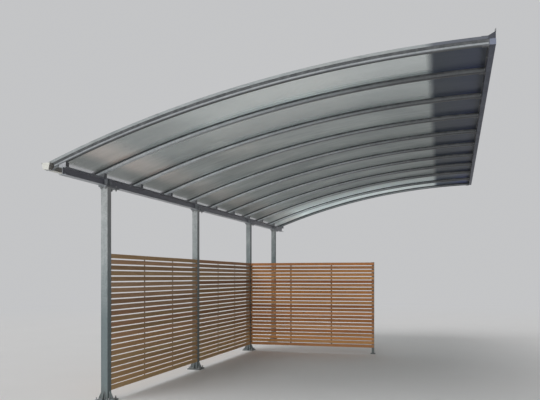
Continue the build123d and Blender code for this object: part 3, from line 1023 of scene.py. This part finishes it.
# Caps on the bars' lower ends
CAP_PROUD = 0.001
CAP_METAL = 0.002
CAP_BEFORE = 0.0025
CAP_BELOW = 0.002
cap_x = sheet_low.x - CAP_BEFORE
cap_low = GASKET - CAP_BELOW
bar_cap = (
    (-BAR_HALF, cap_low),
    (BAR_HALF, cap_low),
    (BAR_HALF, BAR_TOP + CAP_PROUD),
    (RIDGE_HALF, BAR_TOP + BAR_RIDGE + CAP_PROUD),
    (-RIDGE_HALF, BAR_TOP + BAR_RIDGE + CAP_PROUD),
    (-BAR_HALF, BAR_TOP + CAP_PROUD),
)
edge_bar_cap = (
    (0, cap_low),
    (EDGE_BAR_WIDTH, cap_low),
    (EDGE_BAR_WIDTH, BAR_TOP + CAP_PROUD),
    (EDGE_BAR_RIM, BAR_TOP + CAP_PROUD),
    (EDGE_BAR_RIM, EDGE_BAR_TOP),
    (0, EDGE_BAR_TOP),
)
roof_edges = ((edge_low.y, 1), (edge_high.y, -1))
caps = [(rib_y, 1, bar_cap) for rib_y in rib_places[1:-1]]
caps += [(outer, inward, edge_bar_cap) for outer, inward in roof_edges]
bm = bmesh.new()
for middle, sign, outline in caps:
    rings = []
    for x in (cap_x, cap_x + CAP_METAL):
        rings.append([roof_point(x, middle + sign * y, offset) for y, offset in outline])
    loft(bm, rings)
finished("bar_end_caps", bm, aluminium)

# Screws with washers in the bars
BAR_SCREW = (
    (0.0078, 0),
    (0.0078, 0.0012),
    (0.0058, 0.0014),
    (0.0058, 0.0046),
    (0.0044, 0.0056),
)
BAR_SCREW_STEPS = 14
BAR_SCREW_START = 0.06
BAR_SCREW_END = 0.10
EDGE_SCREW_INWARD = 0.029


def bar_screw(bm, place, axis):
    """Screw head on its washer."""
    turned(bm, place, axis, BAR_SCREW, 10, chance.uniform(0, 1))


bm = bmesh.new()
first_screw = sheet_low.x + BAR_SCREW_START
screw_places = evenly(first_screw, sheet_high.x - BAR_SCREW_END, BAR_SCREW_STEPS)
for rib_y in rib_places[1:-1]:
    for x in screw_places:
        bar_screw(bm, roof_point(x, rib_y, BAR_TOP + BAR_RIDGE), roof_normal(x))
for outer, inward in roof_edges:
    for x in screw_places:
        top = roof_point(x, outer + inward * EDGE_SCREW_INWARD, BAR_TOP)
        bar_screw(bm, top, roof_normal(x))
finished("bar_screws", bm, bolt_steel, smooth=35)

# Wall side: a filler between the sheets and the flashing, and plates on the flashing's ends
FILLER_START = 0.045
FILLER_END = 0.006
FILLER_CLEAR = 0.0005
FLASHING_METAL = 0.002
END_PLATE = 0.0015
END_PLATE_RISE = 0.038
flashing_level = roof_point(sheet_high.x, 0, EDGE_BAR_TOP).z
filler = (
    (sheet_high.x - FILLER_START, SHEET_TOP + FILLER_CLEAR),
    (sheet_high.x - FILLER_END, SHEET_TOP + FILLER_CLEAR),
    (sheet_high.x - FILLER_END, EDGE_BAR_TOP - FILLER_CLEAR),
    (sheet_high.x - FILLER_START, EDGE_BAR_TOP - FILLER_CLEAR),
)
bm = bmesh.new()
for near, far in bays:
    across_bay(bm, near, far, filler)
finished("flashing_filler", bm, gasket_rubber)

end_plate = (
    (sheet_high.x, wall_high.z),
    (flashing_high.x - FLASHING_METAL, wall_high.z),
    (flashing_high.x - FLASHING_METAL, flashing_level + END_PLATE_RISE),
    (sheet_high.x, flashing_level),
)
bm = bmesh.new()
for y, inward in ((flashing_low.y, 1), (flashing_high.y, -1)):
    start = Vector((0, y, 0))
    prism(bm, end_plate, start, start + TO_BACK * inward * END_PLATE)
finished("flashing_ends", bm, flashing_metal)

# A half-round seal along the flashing's upper edge
SEAL_HALF = 0.003
SEAL_PROUD = 0.0036
SEAL_BASE = 0.001
SEAL_BEFORE = 0.004
SEAL_SHORT = 0.01
seal = []
for step in range(2, 7):
    angle = step * pi / 4
    seal.append((-abs(cos(angle)) * SEAL_PROUD - SEAL_BASE, sin(angle) * SEAL_HALF))
seal_x = flashing_high.x - SEAL_BEFORE
start = Vector((seal_x, flashing_low.y + SEAL_SHORT, flashing_high.z - SEAL_HALF))
end = Vector((seal_x, flashing_high.y - SEAL_SHORT, start.z))
bm = bmesh.new()
prism(bm, seal, start, end)
finished("wall_seal", bm, gasket_rubber, smooth=60)

# Screws with washers in the flashing and in the gutter straps, under the ribs
FLASHING_SCREW_SHARES = (0.2, 0.5, 0.8)
FLASHING_SCREW_INWARD = 0.018
STRAP_SCREWS = (0.014, 0.038)
STRAP_METAL = 0.004
flashing_top = flashing_level + FLASHING_METAL
bm = bmesh.new()
for near, far in bays:
    for share in FLASHING_SCREW_SHARES:
        y = near + (far - near) * share
        bar_screw(bm, Vector((flashing_low.x + FLASHING_SCREW_INWARD, y, flashing_top)), UP)
for rib_y in rib_places:
    for back in STRAP_SCREWS:
        x = straps_inner - back
        bar_screw(bm, roof_point(x, rib_y, -RIB_DEPTH - STRAP_METAL), -roof_normal(x))
finished("trim_screws", bm, bolt_steel, smooth=35)

# Gutter: a rolled bead on its outer rim
BEAD_RADIUS = 0.006
BEAD_INSET = BEAD_RADIUS - 0.001
bead = []
for step in range(12):
    angle = step * pi / 6
    bead.append((BEAD_RADIUS * cos(angle), BEAD_RADIUS * sin(angle)))
start = Vector((gutter_low.x + BEAD_INSET, gutter_low.y, gutter_high.z - BEAD_INSET))
end = Vector((start.x, gutter_high.y, start.z))
bm = bmesh.new()
prism(bm, bead, start, end)
finished("gutter_bead", bm, gutter_metal, smooth=60)

# Weld beads: at the foot and the head of each post, at the gussets there and at the rib seats
BEAD_STEP = 0.008
BEAD_RIPPLE = 0.16
BEAD_STRAY = 0.06
BEAD_END = 0.35
BEAD_BULGE = 0.62
POST_WELD = 0.006
GUSSET_WELD = 0.005
SEAT_WELD = 0.004
POST_CORNER = 0.008
WELD_SHORT = 0.004
GUSSET_HALF = 0.004
FOOT_GUSSET = (0.062, 0.112)
HEAD_GUSSET = (0.096, 0.125)
SEAT_HALF_X = 0.045
SEAT_LENGTH = 0.070


def weld(bm, start, end, size, inner_a, inner_b):
    """Rippled bead in the corner between two faces, along a line from start to end."""
    run = end - start
    steps = max(2, int(run.length / BEAD_STEP))
    rings = []
    for step in range(steps + 1):
        share = step / steps
        stray = chance.uniform(-BEAD_STRAY, BEAD_STRAY)
        scale = size * (1 + BEAD_RIPPLE * (step % 2) + stray)
        if step in (0, steps):
            scale *= BEAD_END
        place = start + run * share
        rings.append([
            place,
            place + inner_a * scale,
            place + (inner_a + inner_b) * scale * BEAD_BULGE,
            place + inner_b * scale,
        ])
    loft(bm, rings)


def post_faces():
    """Directions outward and sideways on the four faces of a post."""
    for turn in range(4):
        spin = Matrix.Rotation(turn * pi / 2, 3, "Z")
        yield spin @ TO_WALL, spin @ TO_BACK


weld_half = post_half - POST_CORNER
bm = bmesh.new()
run, rise = FOOT_GUSSET
for post_y in post_places:
    middle = Vector((0, post_y, BASE_THICK))
    for outward, sideways in post_faces():
        face = middle + outward * post_half
        for side in (-1, 1):
            away = sideways * side
            edge = face + away * weld_half
            inner = face + away * GUSSET_HALF
            weld(bm, edge, inner + away * POST_WELD, POST_WELD, outward, UP)
            weld(bm, inner, inner + outward * (run - WELD_SHORT), GUSSET_WELD, away, UP)
            weld(bm, inner, inner + UP * (rise - WELD_SHORT), GUSSET_WELD, away, outward)
run, rise = HEAD_GUSSET
for post_y in post_places:
    top = Vector((0, post_y, head_plate_low))
    for outward, sideways in post_faces():
        face = top + outward * post_half
        reach = sideways * weld_half
        weld(bm, face - reach, face + reach, POST_WELD, outward, DOWN)
    for side in (-1, 1):
        away = Vector((side, 0, 0))
        corner = top + Vector((side * GUSSET_HALF, post_half, 0))
        weld(bm, corner, corner + TO_BACK * (run - WELD_SHORT), GUSSET_WELD, away, DOWN)
        weld(bm, corner, corner - UP * (rise - WELD_SHORT), GUSSET_WELD, away, TO_BACK)
for rib_y in rib_places:
    back = max(min(rib_y + SEAT_LENGTH / 2, beam_high.y), beam_low.y + SEAT_LENGTH)
    for side in (-1, 1):
        near = Vector((side * SEAT_HALF_X, back - SEAT_LENGTH + WELD_SHORT / 2, beam_high.z))
        far = near + TO_BACK * (SEAT_LENGTH - WELD_SHORT)
        weld(bm, near, far, SEAT_WELD, Vector((side, 0, 0)), UP)
finished("weld_beads", bm, bolt_steel, smooth=50)

# Stage, light and camera
FLOOR_TONE = (0.74, 0.74, 0.74)
FLOOR_PLACE = (2.3, 4.0, -0.002)
FLOOR_RADIUS = 400
FLOOR_FADE = (9.0, 27.0)
SKY_TONE = (0.55, 0.555, 0.565)
LIGHT_LEVEL = 0.26
SUNS = (
    ("key", 1.5, 50, Vector((0.25, 0.62, -0.74))),
    ("fill", 0.8, 90, Vector((0.75, -0.55, -0.35))),
)
FRONT_PLACE = Vector((2.0, -30.0, 1.6))
FRONT_SIZE = (30.0, 3.0)
FRONT_POWER = 2700
CAMERA_PLACE = Vector((4.4313, -7.6628, 1.6303))
CAMERA_TURN = 15.892
FOCAL_PIXELS = 650.1
HORIZON_ROW = 277.0
PICTURE = (540, 400)
SENSOR_WIDTH = 36

bm = bmesh.new()
bmesh.ops.create_circle(bm, cap_ends=True, segments=96, radius=FLOOR_RADIUS)
mesh = bpy.data.meshes.new("floor")
bm.to_mesh(mesh)
bm.free()
floor = placed("floor", mesh)
floor.location = FLOOR_PLACE
look = Look("floor_tone")
mottle = look.noise(0.8, detail=4.0)
tone = look.ramp(mottle, (0.3, tuple(part * 0.98 for part in FLOOR_TONE)), (0.7, FLOOR_TONE))
look.finish(tone, 0.9)
fade = look.ranged(look.vector("LENGTH", look.place)["Value"], *FLOOR_FADE)
fade.node.interpolation_type = "SMOOTHSTEP"
rays = look.node("ShaderNodeLightPath").outputs
backdrop = look.node("ShaderNodeEmission", Color=(*SKY_TONE, 1))
seen_far = look.times(fade, rays["Is Camera Ray"])
surface = look.mixed(seen_far, look.shader.outputs[0], backdrop.outputs[0])
look.feed(look.output.inputs["Surface"], surface)
mesh.materials.append(look.material)

world = bpy.data.worlds.new("studio")
bpy.context.scene.world = world
world.use_nodes = True
sky = Nodes(world.node_tree)
light = sky.tree.nodes["Background"]
light.inputs["Color"].default_value = (1, 1, 1, 1)
light.inputs["Strength"].default_value = LIGHT_LEVEL
backdrop = sky.node("ShaderNodeBackground", Color=(*SKY_TONE, 1))
rays = sky.node("ShaderNodeLightPath").outputs
seen = sky.math("MAXIMUM", rays["Is Camera Ray"], rays["Is Glossy Ray"])
seen = sky.math("MAXIMUM", seen, rays["Is Transmission Ray"])
surface = sky.mixed(seen, light.outputs[0], backdrop.outputs[0])
sky.feed(sky.tree.nodes["World Output"].inputs["Surface"], surface)

for name, level, spread, direction in SUNS:
    lamp = bpy.data.lights.new(name, "SUN")
    lamp.energy = level
    lamp.angle = radians(spread)
    placed(name, lamp).rotation_euler = direction.to_track_quat("-Z", "Y").to_euler()
lamp = bpy.data.lights.new("front", "AREA")
lamp.shape = "RECTANGLE"
lamp.size, lamp.size_y = FRONT_SIZE
lamp.energy = FRONT_POWER
front = placed("front", lamp)
front.location = FRONT_PLACE
front.rotation_euler = (radians(90), 0, 0)

camera = bpy.data.cameras.new("camera")
camera.sensor_width = SENSOR_WIDTH
camera.lens = FOCAL_PIXELS * SENSOR_WIDTH / PICTURE[0]
camera.shift_y = (HORIZON_ROW - PICTURE[1] / 2) / PICTURE[0]
camera.clip_end = 300
viewer = placed("camera", camera)
viewer.location = CAMERA_PLACE
viewer.rotation_euler = (radians(90), 0, radians(CAMERA_TURN))
bpy.context.scene.camera = viewer
bpy.context.scene.view_settings.view_transform = "Standard"
